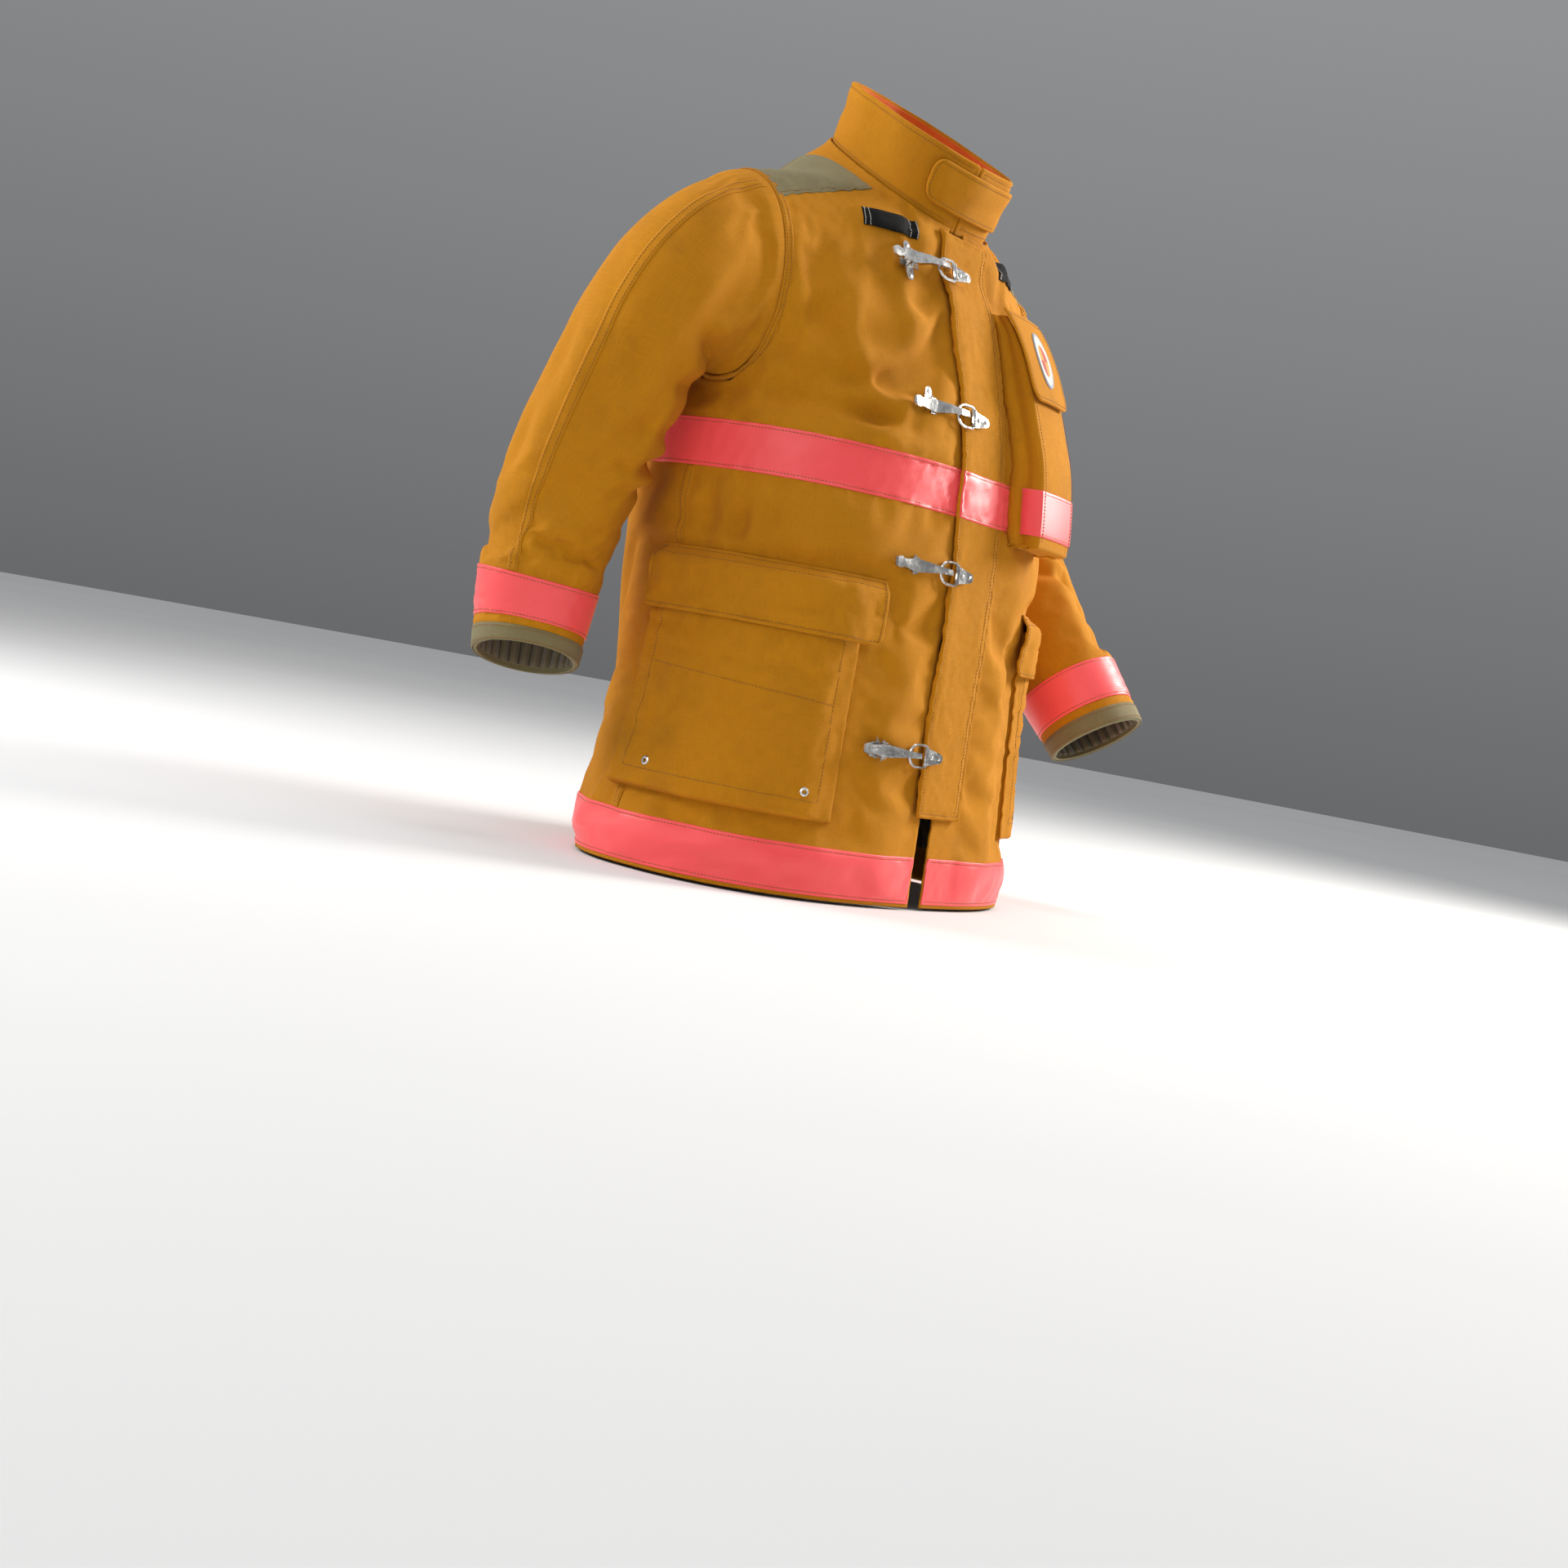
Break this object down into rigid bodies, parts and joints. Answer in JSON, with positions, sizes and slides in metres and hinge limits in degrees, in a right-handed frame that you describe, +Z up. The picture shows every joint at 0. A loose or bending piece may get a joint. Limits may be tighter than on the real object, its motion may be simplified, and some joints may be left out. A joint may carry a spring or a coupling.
{
  "type": "turnout coat",
  "caption": "Firefighter's turnout coat, filled out as worn, with hook-and-dee front, storm flap, bellows pockets, trim bands and standing collar.",
  "frame": {"origin": "middle of the hanger loop at the inside back neck, where the coat hangs from a hook", "axes": "+Z up along the coat, front faces -Y, the wearer's right arm is on -X"},
  "size_m": [0.8296, 0.4383, 0.9015],
  "materials": {
    "shell_cloth": "matte golden duck weave",
    "trim_tape": "fluorescent tape with fine ribs, slightly glossy",
    "reinforcement": "matte olive coated cloth",
    "collar_lining": "matte orange-red cloth",
    "liner": "matte quilted dark cloth",
    "webbing": "black woven webbing and pile tape",
    "badge": null,
    "hardware": "polished nickel plate"
  },
  "bodies": {
    "coat": {"back_panel": "shell_cloth", "right_front_panel": "shell_cloth", "left_front_panel": "shell_cloth", "collar_shell": "shell_cloth", "storm_flap": "shell_cloth", "right_pocket": "shell_cloth", "left_pocket": "shell_cloth", "radio_pocket": "shell_cloth", "chest_trim": "trim_tape", "chest_trim_on_flap": "trim_tape", "chest_trim_on_pocket": "trim_tape", "hem_trim": "trim_tape", "right_shoulder_patch": "reinforcement", "left_shoulder_patch": "reinforcement", "collar_lining": "collar_lining", "liner_body": "liner", "right_mic_tab": "webbing", "left_mic_tab": "webbing", "hanger_loop": "webbing", "closure_loop_tape": "webbing", "closure_hook_tape": "webbing", "right_front_drain_eyelet": "hardware", "right_side_drain_eyelet": "hardware", "left_front_drain_eyelet": "hardware", "left_side_drain_eyelet": "hardware", "hook_base_1": "hardware", "hook_pin_1": "hardware", "dee_plate_1": "hardware", "hook_base_2": "hardware", "hook_pin_2": "hardware", "dee_plate_2": "hardware", "hook_base_3": "hardware", "hook_pin_3": "hardware", "dee_plate_3": "hardware", "hook_base_4": "hardware", "hook_pin_4": "hardware", "dee_plate_4": "hardware"},
    "right_arm": {"right_sleeve": "shell_cloth", "right_sleeve_liner": "liner", "right_sleeve_trim": "trim_tape", "right_cuff_binding": "reinforcement"},
    "right_flap": {"right_pocket_flap": "shell_cloth"},
    "left_arm": {"left_sleeve": "shell_cloth", "left_sleeve_liner": "liner", "left_sleeve_trim": "trim_tape", "left_cuff_binding": "reinforcement"},
    "left_flap": {"left_pocket_flap": "shell_cloth"},
    "radio_flap": {"radio_pocket_flap": "shell_cloth", "flap_badge": "badge"},
    "throat_tab": {"throat_strap": "shell_cloth"},
    "lever_1": {"hook_lever_1": "hardware"},
    "dee_1": {"dee_ring_1": "hardware"},
    "lever_2": {"hook_lever_2": "hardware"},
    "dee_2": {"dee_ring_2": "hardware"},
    "lever_3": {"hook_lever_3": "hardware"},
    "dee_3": {"dee_ring_3": "hardware"},
    "lever_4": {"hook_lever_4": "hardware"},
    "dee_4": {"dee_ring_4": "hardware"}
  },
  "joints": [
    {"name": "right_sleeve_swing", "type": "hinge", "parent": "coat", "child": "right_arm", "pos_m": [-0.242, -0.046, -0.218], "axis": [1, 0, 0], "range_deg": [-60, 20]},
    {"name": "left_sleeve_swing", "type": "hinge", "parent": "coat", "child": "left_arm", "pos_m": [0.242, -0.046, -0.218], "axis": [1, 0, 0], "range_deg": [-40, 35]},
    {"name": "right_pocket_flap_lift", "type": "hinge", "parent": "coat", "child": "right_flap", "pos_m": [-0.23289, -0.15986, -0.511], "axis": [-0.4562, 0.8899, 0], "range_deg": [0, 50]},
    {"name": "left_pocket_flap_lift", "type": "hinge", "parent": "coat", "child": "left_flap", "pos_m": [0.23289, -0.15986, -0.511], "axis": [-0.4562, -0.8899, 0], "range_deg": [0, 20]},
    {"name": "radio_flap_lift", "type": "hinge", "parent": "coat", "child": "radio_flap", "pos_m": [0.08808, -0.16441, -0.163], "axis": [-0.9877, -0.1564, 0], "range_deg": [0, 75]},
    {"name": "throat_strap_swing", "type": "hinge", "parent": "coat", "child": "throat_tab", "pos_m": [0.04, -0.179, -0.078], "axis": [0, -0.167, 0.986], "range_deg": [0, 100]},
    {"name": "hook_lever_1_press", "type": "hinge", "parent": "coat", "child": "lever_1", "pos_m": [-0.10324, -0.17265, -0.16452], "axis": [-0.0636, -0.3993, -0.9146], "range_deg": [0, 13], "stiffness_Nm_per_rad": 0.5, "springref_deg": -5.73},
    {"name": "dee_ring_1_swing", "type": "hinge", "parent": "coat", "child": "dee_1", "pos_m": [-0.04057, -0.18606, -0.16303], "axis": [0.0636, 0.3993, 0.9146], "range_deg": [-2, 3]},
    {"name": "hook_lever_2_press", "type": "hinge", "parent": "coat", "child": "lever_2", "pos_m": [-0.09713, -0.22986, -0.31903], "axis": [-0.0311, -0.2271, -0.9734], "range_deg": [0, 13], "stiffness_Nm_per_rad": 0.5, "springref_deg": -5.73},
    {"name": "dee_ring_2_swing", "type": "hinge", "parent": "coat", "child": "dee_2", "pos_m": [-0.03421, -0.2421, -0.31818], "axis": [0.0311, 0.2271, 0.9734], "range_deg": [-2, 3]},
    {"name": "hook_lever_3_press", "type": "hinge", "parent": "coat", "child": "lever_3", "pos_m": [-0.10729, -0.25258, -0.48824], "axis": [-0.0132, -0.087, -0.9961], "range_deg": [0, 13], "stiffness_Nm_per_rad": 0.5, "springref_deg": -5.73},
    {"name": "dee_ring_3_swing", "type": "hinge", "parent": "coat", "child": "dee_3", "pos_m": [-0.04457, -0.26585, -0.48792], "axis": [0.0132, 0.087, 0.9961], "range_deg": [-2, 3]},
    {"name": "hook_lever_4_press", "type": "hinge", "parent": "coat", "child": "lever_4", "pos_m": [-0.11331, -0.26088, -0.68551], "axis": [-0.0087, -0.0561, -0.9984], "range_deg": [0, 13], "stiffness_Nm_per_rad": 0.5, "springref_deg": -5.73},
    {"name": "dee_ring_4_swing", "type": "hinge", "parent": "coat", "child": "dee_4", "pos_m": [-0.05063, -0.27431, -0.6853], "axis": [0.0087, 0.0561, 0.9984], "range_deg": [-2, 3]}
  ]
}
